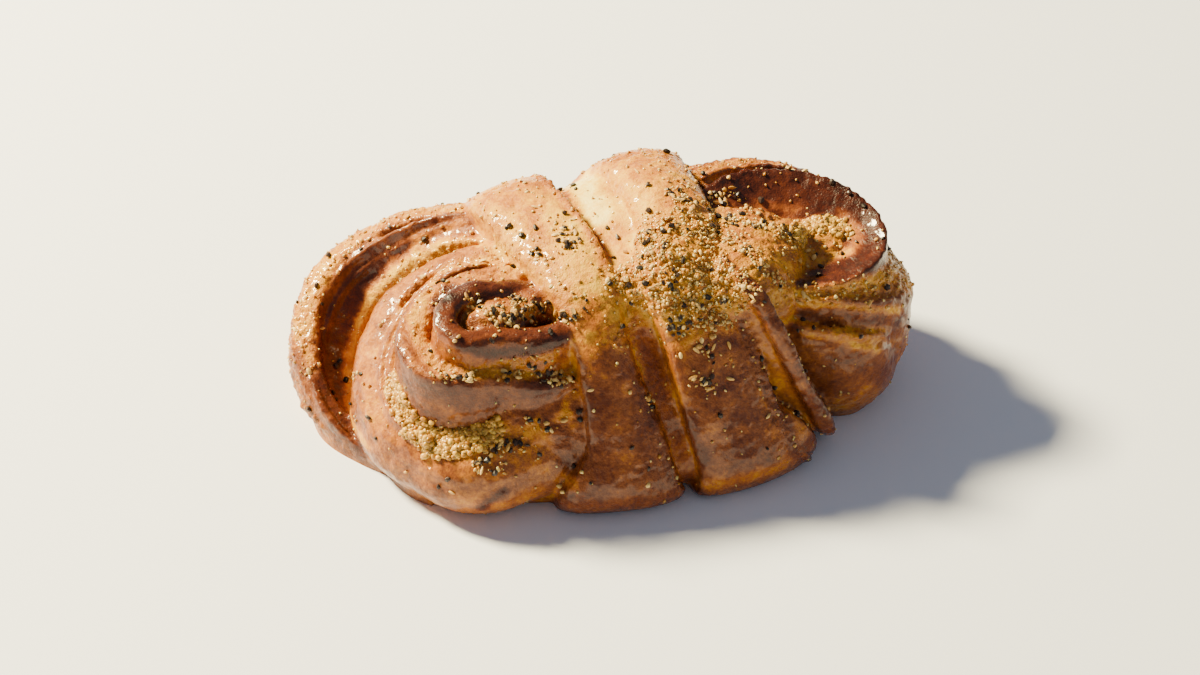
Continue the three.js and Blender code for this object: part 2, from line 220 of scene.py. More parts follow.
# %% Folds over the middle, mm and degrees round the spine
SPINE = (2.0, 8.0)  # y, z
ARCH = dict(
    start=-25, end=205,
    radius=[31, 36, 38, 41.2, 42.3, 38.9, 37, 36.5, 33.4, 32.2, 33.6, 36.4, 30])
FOLDS = {
    "left_fold": dict(
        start=-25, end=205,
        middle=[-12, -12, -12, -11.6, -10.6, -8.8, -6.8, -5.8, -5.1, -4.3, -3.5, -5, -5],
        lift=[0, 0, 0, -0.4, -0.4, -1.2, -1.8, -2.2, -2, -2.4, -2.8, -2.8, -1],
        width=[15, 16, 16, 16, 16, 15.4, 14.4, 12.4, 11.2, 12.8, 16, 24, 25],
        tilt=[0, 0, 0.2, 1, 1.4, 1.6, 1.4, 0.8, 0.2, 0, 0.6, 1.6, 1.6],
        depth=14, cap=2.4, dish=-0.4),
    "right_fold": dict(
        start=-25, end=205,
        middle=[16, 16, 16, 16.4, 17.2, 17.4, 16.6, 13.6, 15, 16.7, 18.2, 22.4, 23],
        lift=[0, 0, 0, 0, 0.2, 0.2, 0, 0, 0, -0.4, -1.4, -2.4, -1],
        width=[26, 27, 27, 25, 18.6, 16.4, 16.4, 18, 16.8, 18.5, 19, 26, 27],
        tilt=[0, 0, 0, 0, -0.4, -0.8, -1, -0.8, -0.6, -1, -1.4, -1.2, -0.6],
        depth=16, cap=2.4,
        dish=[0, 0, 0, -0.4, -1, -1.6, -1.8, -1.4, -0.8, -0.5, -0.8, -1.4, -1.4]),
    "valley": dict(
        start=-25, end=205,
        middle=[2, 2, 2.2, 3.4, 5, 5.6, 5.2, 4.2, 3.8, 4.8, 6.2, 8, 9],
        lift=[-3, -3, -3, -2.6, -2.4, -2.8, -3.2, -1.4, -4.6, -6, -5.8, -5.2, -3.6],
        width=[12, 12, 12, 13, 14, 14, 12, 10, 9, 9, 9, 9, 9],
        tilt=[0, 0, 0, 1, 2, 2.2, 1.8, 0.8, 0, 0, 0, 0, 0],
        depth=12, cap=0.6, dish=0.3),
    "flap": dict(
        start=110, end=205,
        middle=[20.2, 24.2, 27.2, 30, 32.6, 34.8, 35],
        lift=[0, 2.2, -0.2, -4.2, -7.4, -9.6, -9.6],
        width=[3.6, 6.6, 8.2, 9.4, 11.4, 13, 13],
        tilt=[1, 2, 2.6, 2.8, 2.6, 1.6, 0],
        depth=12, cap=1.2, dish=0.8),
}

# %% [markdown]
# What is left is round: the dough inside, and the filling heaped up in the eyes and along
# the creases. Each is an ellipsoid, given as its centre and its three half sizes.

# %% Rounded bodies, mm
LUMPS = {
    "heart": [(2, 2, 8, 50, 28, 26), (-11, -12.5, 15, 9.5, 7, 8), (-43, 3, 3, 7, 9, 5)],
    "right_core": [
        (26.5, -3, 33, 15, 13, 9.6), (23.5, -8, 34, 13, 11, 9), (29.5, -9, 31, 8.5, 9, 8),
        (31, -12, 25, 6.5, 5.5, 7), (25.5, 3.4, 37.6, 8, 5.2, 4.6),
        (31, 1.4, 37.8, 8, 4.6, 4.2), (36, -0.8, 36.6, 6.4, 4, 3.8),
        (44, 0.4, 31.2, 11, 8, 4.4), (49, 3, 32.6, 5.4, 3.8, 3.2)],
    "left_eye": [(-22.6, -5.2, 33.9, 7.6, 4.8, 4.8), (-14.5, -3.2, 33.9, 8, 3.6, 4.5)],
}

# %% [markdown]
# A strip becomes a mesh by lofting: the same outline is set up at many places along the
# strip's path and joined to the next. Those places are less than a millimetre apart and the
# rounded top has 24 faces, so no facet shows. Every point also remembers which strip it belongs to,
# how far across the strip it lies and how far below its top. The crust's colours need that
# later, because a rim browns and a crease doesn't.

# %% Smooth lists, outlines and lofts
CAP_FACES = 24
WALL_FACES = 26
CAP_SQUARENESS = 0.8  # 1 rounds a strip's top evenly, and less makes it squarer
LOOK_AHEAD = 0.01  # share of a path, each side, over which its direction is read
MOST_ROUNDED = 0.7  # share of a wall's height that its foot may take up
ROOT_WIDTH = 0.9  # a fold is this much narrower at its root


def along(values, share):
    """An even list read at shares from 0 to 1 along a smooth curve through its entries."""
    if np.isscalar(values):
        return np.full(len(share), float(values))
    values = np.asarray(values, float)
    spans = len(values) - 1
    i = np.minimum((share * spans).astype(int), spans - 1)
    t = share * spans - i
    p = [values[np.clip(i + k, 0, spans)] for k in (-1, 0, 1, 2)]
    b = p[2] - p[0]
    c = 2 * p[0] - 5 * p[1] + 4 * p[2] - p[3]
    d = -p[0] + 3 * p[1] - 3 * p[2] + p[3]
    return 0.5 * (2 * p[1] + t * (b + t * (c + t * d)))


def cap_outline(half, cap, dish, tilt):
    """The rounded top of a strip, right edge to left: sideways and down, for every ring."""
    turn = np.pi * np.arange(CAP_FACES + 1) / CAP_FACES
    across = np.sign(np.cos(turn)) * np.abs(np.cos(turn)) ** CAP_SQUARENESS
    down = cap * (1 - np.sin(turn).clip(0) ** CAP_SQUARENESS) - tilt[:, None] * across
    return half[:, None] * across, down + dish[:, None] * (1 - across * across)


def rim_to_foot(start, end, count):
    """Points between two columns, both left out, as one column per step."""
    steps = np.arange(1, count) / count
    return start[:, None] * (1 - steps) + end[:, None] * steps


def direction(path, shape, share):
    """Which way a path runs at each share of it."""
    after = path(shape, np.minimum(1, share + LOOK_AHEAD))
    return after - path(shape, np.maximum(0, share - LOOK_AHEAD))


# %% [markdown]
# A turn stands on its edge. Its outer wall swells a little, as proved dough does, and draws
# in at the foot, and its inner wall slopes towards the eye.

# %% Turns
def turn_path(shape, share):
    angle = np.radians(shape["start"] + (shape["end"] - shape["start"]) * share)
    radius = along(shape["radius"], share)
    return np.column_stack([
        shape["eye"][0] + radius * np.cos(angle),
        shape["eye"][1] + radius * np.sin(angle),
        along(shape["top"], share),
    ])


def turn_rings(shape, rings):
    share = np.linspace(0, 1, rings)
    at = turn_path(shape, share)
    ahead = direction(turn_path, shape, share)
    out = np.column_stack([-ahead[:, 1], ahead[:, 0], np.zeros(rings)])
    out /= np.linalg.norm(out, axis=1)[:, None]
    half = along(shape["width"], share) / 2
    side, down = cap_outline(half, shape["cap"], along(shape["dish"], share), along(shape["tilt"], share))
    drop = at[:, 2] + TABLE_BELOW
    inner_side = -half - shape["lean"] * drop
    inner = (rim_to_foot(side[:, -1], inner_side, WALL_FACES), rim_to_foot(down[:, -1], drop, WALL_FACES))
    edge = np.maximum(at[:, 2] - down[:, 0], 1)
    rounding = np.minimum(shape["round"], MOST_ROUNDED * edge)
    steps = np.linspace(0, 1, WALL_FACES, endpoint=False)
    level = edge[:, None] * steps
    swell = np.sin(np.pi / 2 * np.minimum(1, (edge[:, None] - level) / (edge - rounding)[:, None]))
    tucked = np.maximum(0, 1 - level / rounding[:, None]) ** 2
    wall = half[:, None] + shape["belly"] * swell - shape["tuck"] * tucked
    side = np.column_stack([side, inner[0], inner_side, wall[:, 0], wall])
    down = np.column_stack([down, inner[1], drop, drop, at[:, 2:] - level])
    points = at[:, None] + out[:, None] * side[:, :, None]
    points[:, :, 2] = at[:, 2:] - down
    return points, share, side / half[:, None], down


# %% [markdown]
# A fold is a strip laid flat. Its outline stands square to the arch that it follows and
# reaches in towards the spine.

# %% Folds
def fold_path(shape, share):
    degrees = shape["start"] + (shape["end"] - shape["start"]) * share
    arch_share = (degrees - ARCH["start"]) / (ARCH["end"] - ARCH["start"])
    radius = along(ARCH["radius"], arch_share) + along(shape["lift"], share)
    angle = np.radians(degrees)
    return np.column_stack([
        along(shape["middle"], share),
        SPINE[0] + radius * np.cos(angle),
        SPINE[1] + radius * np.sin(angle),
    ])


def fold_rings(shape, rings):
    share = np.linspace(0, 1, rings)
    at = fold_path(shape, share)
    ahead = direction(fold_path, shape, share)
    ahead /= np.linalg.norm(ahead, axis=1)[:, None]
    inward = np.column_stack([np.zeros(rings), SPINE[0] - at[:, 1], SPINE[1] - at[:, 2]])
    inward -= ahead * np.sum(inward * ahead, axis=1)[:, None]
    inward /= np.linalg.norm(inward, axis=1)[:, None]
    right = np.cross(ahead, inward)
    right *= np.sign(right[:, :1])
    half = along(shape["width"], share) / 2
    side, down = cap_outline(half, shape["cap"], along(shape["dish"], share), along(shape["tilt"], share))
    root = np.full(rings, shape["depth"])
    narrow = ROOT_WIDTH * half
    left = (rim_to_foot(side[:, -1], -narrow, WALL_FACES), rim_to_foot(down[:, -1], root, WALL_FACES))
    back = (rim_to_foot(narrow, side[:, 0], WALL_FACES), rim_to_foot(root, down[:, 0], WALL_FACES))
    side = np.column_stack([side, left[0], -narrow, narrow, back[0]])
    down = np.column_stack([down, left[1], root, root, back[1]])
    points = at[:, None] + right[:, None] * side[:, :, None] + inward[:, None] * down[:, :, None]
    return points, share, side / half[:, None], down


# %% Every strip and lump, with what each point remembers
RINGS = 190
BALL_GRID = (40, 48)  # rings of a lump, and points on each
POLE_GAP = 0.02  # radians left open at each pole, where a face closes it
strips = []


def remember(name, points, share, across, down):
    rings, count = across.shape
    strips.append(dict(
        name=name, points=points - ZERO, share=np.repeat(share[:, None], count, axis=1),
        across=across, down=down))


def ball_rings(x, y, z, half_x, half_y, half_z):
    """An ellipsoid as rings, which has no rim and no walls to remember."""
    rings, sides = BALL_GRID
    around = np.linspace(0, 2 * np.pi, sides, endpoint=False)
    upward = np.linspace(POLE_GAP, np.pi - POLE_GAP, rings)
    points = np.stack([
        x + half_x * np.sin(upward)[:, None] * np.cos(around),
        y + half_y * np.sin(upward)[:, None] * np.sin(around),
        z + half_z * np.repeat(np.cos(upward)[:, None], sides, axis=1),
    ], axis=-1)
    flat = np.zeros(BALL_GRID)
    return points, np.linspace(0, 1, rings), flat, flat


for name, shape in TURNS.items():
    remember(name, *turn_rings(shape, RINGS))
for name, shape in LIPS.items():
    remember(name, *turn_rings({**LIP_WALLS, **shape}, RINGS))
for name, shape in FOLDS.items():
    remember(name, *fold_rings(shape, RINGS))
for name, shape in FOLD_LIPS.items():
    remember(name, *fold_rings({**FOLD_LIP_WALLS, **shape}, RINGS))
for name, balls in LUMPS.items():
    for ball in balls:
        remember(name, *ball_rings(*ball))
strip_names = list(dict.fromkeys(strip["name"] for strip in strips))
print("strips and lumps:", len(strips))

# %% [markdown]
# ## One skin
# The strips overlap, as the turns of a bun bake together. A voxel remesh fills them all with
# one fine grid and draws one skin round it, which is what baking does: seams close and small
# gaps vanish. Booleans would keep each crossing razor sharp. The base is then pressed flat on
# the table, and the largest skin alone is kept, so no hidden hollow stays inside.

# %% Helpers that turn arrays into meshes and back
VOXEL = 0.42


def mesh_from(name, points, faces):
    mesh = bpy.data.meshes.new(name)
    mesh.from_pydata(np.asarray(points).tolist(), [], [list(map(int, face)) for face in faces])
    mesh.update()
    return mesh


def piece(name, mesh):
    made = bpy.data.objects.new(name, mesh)
    bpy.context.scene.collection.objects.link(made)
    return made


def baked(source):
    """The mesh of an object with its modifiers done, in place of the one it had."""
    bpy.context.view_layer.update()
    done = bpy.data.meshes.new_from_object(source.evaluated_get(bpy.context.evaluated_depsgraph_get()))
    old = source.data
    source.modifiers.clear()
    source.data = done
    bpy.data.meshes.remove(old)
    return source


def numbers_of(elements, name, width, kind=float):
    """A row of `width` numbers for each element of a mesh."""
    flat = np.empty(len(elements) * width, kind)
    elements.foreach_get(name, flat)
    return flat.reshape(-1, width)


def points_of(mesh):
    return numbers_of(mesh.vertices, "co", 3)


def normals_of(mesh):
    return numbers_of(mesh.vertices, "normal", 3)


def edges_of(mesh):
    return numbers_of(mesh.edges, "vertices", 2, int)


def corners_of(mesh):
    """The vertex at each corner of each face, one face after another."""
    return numbers_of(mesh.loops, "vertex_index", 1, int).ravel()


def move_points(mesh, places):
    mesh.vertices.foreach_set("co", places.ravel())
    mesh.update()


def shade_smooth(mesh):
    mesh.polygons.foreach_set("use_smooth", np.ones(len(mesh.polygons), bool))


def store(mesh, name, values):
    """Keeps a number for each point of the mesh, for its material to read."""
    attribute = mesh.attributes.new(name, "FLOAT", "POINT")
    attribute.data.foreach_set("value", values.astype(np.float32))


def nearest_in(samples, places):
    """For each place, the number of the sample that lies nearest to it."""
    tree = KDTree(len(samples))
    for k, sample in enumerate(samples.tolist()):
        tree.insert(sample, k)
    tree.balance()
    return np.array([tree.find(place)[1] for place in places.tolist()])


# %% Join the strips in one skin
all_points = []
all_faces = []
offset = 0
for strip in strips:
    rings, count = strip["across"].shape
    index = offset + np.arange(rings * count).reshape(rings, count)
    after = np.roll(index, -1, axis=1)
    quads = np.stack([index[:-1], after[:-1], after[1:], index[1:]], axis=-1).reshape(-1, 4)
    all_faces += quads.tolist()
    all_faces.append(index[0][::-1].tolist())
    all_faces.append(index[-1].tolist())
    all_points.append(strip["points"].reshape(-1, 3))
    offset += rings * count
sample_points = np.concatenate(all_points)
bun = piece("baked_bun", mesh_from("baked_bun", sample_points, all_faces))
remesh = bun.modifiers.new("one skin", "REMESH")
remesh.mode = "VOXEL"
remesh.voxel_size = VOXEL
baked(bun)
print("one skin:", len(bun.data.polygons), "faces")


# %% Keep the largest skin, smooth the grid's steps away and flatten the base
def largest_shell(mesh):
    """Vertices of the largest connected shell, found by passing labels along the edges."""
    edges = edges_of(mesh)
    label = np.arange(len(mesh.vertices))
    while True:
        low = np.minimum(label[edges[:, 0]], label[edges[:, 1]])
        new = label.copy()
        np.minimum.at(new, edges[:, 0], low)
        np.minimum.at(new, edges[:, 1], low)
        new = new[new]
        if (new == label).all():
            break
        label = new
    names, counts = np.unique(label, return_counts=True)
    return label == names[counts.argmax()]


def averages(values, edges, count):
    """Each vertex's mean over its neighbours, for one value or several a vertex."""
    values = values.reshape(count, -1)
    ends = np.concatenate([edges[:, 0], edges[:, 1]])
    others = np.concatenate([edges[:, 1], edges[:, 0]])
    share = 1 / np.maximum(np.bincount(ends, minlength=count), 1)
    columns = [np.bincount(ends, values[others, k], count) * share for k in range(values.shape[1])]
    return np.column_stack(columns)


def smoothed(values, edges, count, rounds, strength=0.5):
    values = np.asarray(values, float).reshape(count, -1)
    for _ in range(rounds):
        values = values + strength * (averages(values, edges, count) - values)
    return values


def keep_vertices(mesh, keep):
    """The same mesh with only the faces whose corners are all kept."""
    number = np.cumsum(keep) - 1
    corners = corners_of(mesh)
    starts = numbers_of(mesh.polygons, "loop_start", 1, int).ravel()
    faces = [part for part in np.split(corners, starts[1:]) if keep[part].all()]
    return mesh_from(mesh.name, points_of(mesh)[keep], [number[part] for part in faces])


bun.data = keep_vertices(bun.data, largest_shell(bun.data))
edges = edges_of(bun.data)
points = smoothed(points_of(bun.data), edges, len(bun.data.vertices), 2)
points[:, 2] = np.maximum(points[:, 2], 0)
move_points(bun.data, points)
print("largest skin:", len(points), "points, from", points.min(0).round(1), "to", points.max(0).round(1))

# %% [markdown]
# ## Painting the crust
# A baker judges a crust by how far it browned, so the skin carries that as a number, `bake`,
# from 0 for raw cream to 1 for almost burnt. In the hollow of the left eye it also carries
# painted shade. `soak` says where butter and cardamom soaked into the dough and dulled it,
# `grain` where sugar and crumbs made it sandy, and `seeds` and `sugar` how thickly it was
# sprinkled. The first coat goes by strip: its top, its inner wall and its outer wall.

# %% First coat: top, inner wall and outer wall of each strip
COAT = {
    "left_core": dict(bake=(0.76, 0.82, 0.48), soak=(0, 0.1, 0.7), grain=(0.1, 0.1, 0.1)),
    "left_inner": dict(bake=(0.42, 0.46, 0.64), soak=(0.1, 0.5, 0.1), grain=(0.8, 0.6, 0.1)),
    "left_big": dict(bake=(0.50, 0.42, 0.55), soak=(0, 0.4, 0), grain=(0.2, 0.6, 0.05)),
    "left_gutter": dict(bake=(0.70, 0.42, 0.66), soak=(0, 0.3, 0), grain=(0, 0.2, 0)),
    "left_outer": dict(bake=(0.38, 0.56, 0.50), soak=(0, 0, 0), grain=(0.9, 0.2, 1)),
    "right_inner": dict(bake=(0.84, 0.66, 0.80), soak=(0, 0.1, 0), grain=(0, 0.1, 0.1)),
    "right_middle": dict(bake=(0.43, 0.42, 0.58), soak=(0.15, 0.15, 0.1), grain=(1, 0.6, 0.2)),
    "right_outer": dict(bake=(0.48, 0.46, 0.62), soak=(0.2, 0.3, 0), grain=(0.5, 0.6, 0.05)),
    "left_fold": dict(bake=(0.40, 0.38, 0.44), soak=(0, 0.2, 0.2), grain=(0.2, 0.1, 0.3)),
    "right_fold": dict(bake=(0.40, 0.36, 0.44), soak=(0, 0.2, 0.3), grain=(0.3, 0.1, 0.2)),
    "valley": dict(bake=(0.24, 0.24, 0.24), soak=(0.2, 0.2, 0.2), grain=(0.1, 0.1, 0.1)),
    "flap": dict(bake=(0.54, 0.54, 0.66), soak=(0.4, 0.5, 0), grain=(0.1, 0.2, 0.1)),
    "heart": dict(bake=(0.40, 0.40, 0.40), soak=(0.4, 0.4, 0.4), grain=(0.3, 0.3, 0.3)),
    "right_core": dict(bake=(0.40, 0.40, 0.40), soak=(0.15, 0.15, 0.15), grain=(0.9, 0.9, 0.9)),
    "left_eye": dict(bake=(0.56, 0.56, 0.56), soak=(0.2, 0.2, 0.2), grain=(0.5, 0.5, 0.5)),
    "gutter_lip": dict(bake=(0.56, 0.66, 0.56), soak=(0, 0, 0), grain=(0.1, 0, 0.3)),
    "gutter_second_lip": dict(bake=(0.66, 0.66, 0.66), soak=(0, 0, 0), grain=(0, 0, 0)),
    "swirl_lip": dict(bake=(0.48, 0.56, 0.60), soak=(0, 0.2, 0), grain=(0.2, 0.2, 0.2)),
    "swirl_second_lip": dict(bake=(0.46, 0.56, 0.60), soak=(0, 0, 0), grain=(0.1, 0.1, 0.1)),
    "right_upper_crest": dict(bake=(0.40, 0.4, 0.66), soak=(0, 0.1, 0), grain=(0.8, 0.6, 0.2)),
    "right_lower_crest": dict(bake=(0.42, 0.42, 0.62), soak=(0, 0.1, 0), grain=(0.4, 0.4, 0.1)),
    "front_crest": dict(bake=(0.74, 0.72, 0.72), soak=(0, 0, 0.2), grain=(1, 0.6, 0.6)),
    "flap_crest": dict(bake=(0.62, 0.66, 0.68), soak=(0, 0, 0.2), grain=(0.3, 0.2, 0.2)),
    "top_crest": dict(bake=(0.46, 0.42, 0.30), soak=(0, 0, 0.1), grain=(1, 0.6, 0.4)),
    "right_back_lip": dict(bake=(0.46, 0.56, 0.56), soak=(0, 0, 0), grain=(0.2, 0.2, 0.2)),
}
FOLD_SIDES = {  # the share of a fold where its steep front starts, and how brown its sides are
    "left_fold": (0.62, 0.61),
    "right_fold": (0.61, 0.59),
    "valley": (0.56, 0.47),
}
CHANNELS = ("bake", "soak", "grain", "seeds", "sugar")


def ramp(low, high, value):
    """0 below low, 1 above high, smooth between them."""
    t = np.clip((value - low) / (high - low), 0, 1)
    return t * t * (3 - 2 * t)


# %% Find the strip that each point of the skin came from
count = len(bun.data.vertices)
normals = normals_of(bun.data)
nearest = nearest_in(sample_points, points)
sample_strip = np.concatenate([
    np.full(strip["across"].size, strip_names.index(strip["name"])) for strip in strips])
sample_across = np.concatenate([strip["across"].ravel() for strip in strips])
sample_share = np.concatenate([strip["share"].ravel() for strip in strips])
strip_of = sample_strip[nearest]
across = sample_across[nearest]
share = sample_share[nearest]

inner_share = ramp(-0.7, -1.0, across)
outer_share = ramp(0.7, 1.0, across)
skin = {channel: np.zeros(count) for channel in CHANNELS}
for number, name in enumerate(strip_names):
    here = strip_of == number
    for channel, (top, inner, outer) in COAT[name].items():
        value = top + (inner - top) * inner_share + (outer - top) * outer_share
        skin[channel][here] = value[here]
for name, (starts, browned) in FOLD_SIDES.items():
    fold = strip_of == strip_names.index(name)
    sides = fold * np.maximum(ramp(starts, starts + 0.15, share), 0.75 * ramp(0.34, 0.2, share))
    skin["bake"] += sides * (browned - skin["bake"])  # the steep sides brown more than the top
print("points of each strip:", {name: int((strip_of == k).sum()) for k, name in enumerate(strip_names)})

# %% [markdown]
# Ridges brown first and creases stay pale, whatever the strip. How far a point stands out is
# measured by comparing the skin with a smoother copy of itself.

# %% Ridges and creases
FINE_ROUNDS = 30
BROAD_ROUNDS = 120
fine = smoothed(points, edges, count, FINE_ROUNDS)
broad = smoothed(fine, edges, count, BROAD_ROUNDS)
stands_out = np.sum((points - fine) * normals, axis=1)
stands_broad = np.sum((points - broad) * normals, axis=1)
print("stands out, mm:", stands_out.min().round(2), stands_out.max().round(2),
      stands_broad.min().round(2), stands_broad.max().round(2))
ridge = ramp(0.02, 0.35, stands_out)
crease = ramp(-0.03, -0.3, stands_out)
deep = ramp(-0.2, -1.6, stands_broad)
skin["bake"] += 0.07 * ridge - 0.10 * crease - 0.06 * deep
skin["soak"] += 0.12 * deep + 0.08 * crease

# %% [markdown]
# The second coat is put on by brush. A stroke is a line of places in the picture: each is
# looked up on the skin, and the colour spreads from there over the skin for a few real
# millimetres, on faces that look the same way. Seen from another side, a stroke stays where
# it was put, because it lies on the bun and not on the picture.

# %% Brush
skin_tree = BVHTree.FromPolygons(points.tolist(), corners_of(bun.data).reshape(-1, 4).tolist())
STROKE_STEP = 4.0  # pixels between two looks along a stroke
EDGE_NOISE = np.array([noise.fractal(place, 1.0, 2.0, 3) for place in (points / 3.2).tolist()])


def spot(x, y):
    """The place and the outward direction of the skin where the picture shows x, y."""
    sideways = (x - PICTURE[0] / 2) / PICTURE[0] * SENSOR / LENS
    upward = (PICTURE[1] / 2 - y) / PICTURE[0] * SENSOR / LENS
    ray = camera_right * sideways + camera_up * upward - towards_camera
    place, normal, _, _ = skin_tree.ray_cast(Vector(camera_at), Vector(ray))
    return (None, None) if place is None else (np.array(place), np.array(normal))


def brush(path, reach, **values):
    """Draws channels towards values along a path of pixels, over `reach` mm each side."""
    looks = []
    for (x0, y0), (x1, y1) in zip(path, path[1:] or path):
        steps = max(1, int(math.hypot(x1 - x0, y1 - y0) / STROKE_STEP))
        looks += [(x0 + (x1 - x0) * k / steps, y0 + (y1 - y0) * k / steps) for k in range(steps + 1)]
    hits = [spot(x, y) for x, y in looks]
    hits = [hit for hit in hits if hit[0] is not None]
    if not hits:
        print("a stroke missed the bun:", path)
        return
    places = np.array([hit[0] for hit in hits])
    facing = np.array([hit[1] for hit in hits])
    near = np.all((points > places.min(0) - reach) & (points < places.max(0) + reach), axis=1)
    index = np.flatnonzero(near)
    away = np.linalg.norm(points[index, None] - places, axis=2)
    closest = away.argmin(axis=1)
    away = away[np.arange(len(index)), closest] * (1 + 0.45 * EDGE_NOISE[index])
    same_side = np.sum(normals[index] * facing[closest], axis=1)
    weight = ramp(reach, 0.35 * reach, away) * ramp(-0.1, 0.6, same_side)
    for channel, value in values.items():
        skin[channel][index] += weight * (value - skin[channel][index])


def brush_all(strokes):
    """Each stroke is its path in the picture, its reach in mm and the values it draws."""
    for path, reach, values in strokes:
        brush(path, reach, **values)


# %% Second coat: the left swirl, from its outside to its eye
LEFT_SWIRL_STROKES = [
    ([(298, 357), (306, 388), (325, 425), (350, 447)], 2.2, dict(bake=0.6, grain=0.4)),
    ([(413, 252), (380, 271), (351, 292), (335, 316), (326, 342), (324, 371), (330, 400), (344, 426),
      (361, 445)], 4.0, dict(bake=0.74, grain=0, soak=0)),
    ([(423, 242), (447, 233), (466, 226)], 3, dict(bake=0.5, grain=0.2)),
    ([(394, 278), (370, 295), (359, 323), (350, 357), (348, 392), (352, 423), (368, 447)],
     1.7, dict(bake=0.32)),
    ([(375, 302), (385, 285), (404, 269), (432, 252), (461, 242), (490, 242), (506, 252)],
     3.4, dict(bake=0.28, grain=0.7)),
    ([(428, 240), (450, 232), (470, 226)], 1.7, dict(bake=0.52, grain=0.2)),
    ([(368, 338), (363, 371), (370, 404), (387, 435)], 3.5, dict(bake=0.46, grain=0.15)),
    ([(404, 459), (432, 480), (470, 488), (506, 480), (542, 471)], 5.5, dict(bake=0.54, grain=0)),
    ([(455, 498), (500, 504), (540, 492)], 2.4, dict(bake=0.46, soak=0.3)),
    ([(482, 507), (504, 492)], 1.5, dict(bake=0.82)),
    ([(561, 430), (566, 464)], 3, dict(bake=0.66)),
    ([(399, 388), (409, 411), (423, 435), (447, 438), (475, 440), (494, 435)],
     3.4, dict(bake=0.44, soak=0.5, grain=1)),
    ([(423, 295), (413, 314), (413, 333), (428, 357), (451, 371), (485, 371), (518, 361), (554, 354)],
     2, dict(bake=0.36, grain=1)),
    ([(432, 283), (451, 266), (485, 261), (513, 269)], 2.2, dict(bake=0.38, grain=0.9)),
    ([(404, 323), (406, 342), (418, 361), (435, 378)], 1.1, dict(bake=0.6, grain=0)),
    ([(428, 388), (456, 397), (490, 397), (523, 392), (554, 388)], 3, dict(bake=0.72, grain=0.1)),
    ([(423, 404), (447, 411), (478, 419), (518, 414), (554, 404)], 1.5, dict(bake=0.54, soak=0.5)),
    ([(437, 302), (447, 292), (470, 285), (494, 292)], 2.2, dict(bake=0.8)),
    # Painted shade: the hollow of the left eye, shaded by its back wall, is painted near black.
    ([(448, 298), (462, 296)], 2.0, dict(bake=0.95)),
    ([(472, 308), (500, 312), (530, 312)], 2.6, dict(bake=0.42, soak=0, grain=1, sugar=0.6, seeds=0.7)),
    ([(447, 328), (470, 338), (506, 330), (547, 323)], 1.8, dict(bake=0.74)),
    ([(461, 347), (494, 354), (530, 350), (561, 342)], 1.9, dict(bake=0.8, soak=0.6)),
]
brush_all(LEFT_SWIRL_STROKES)

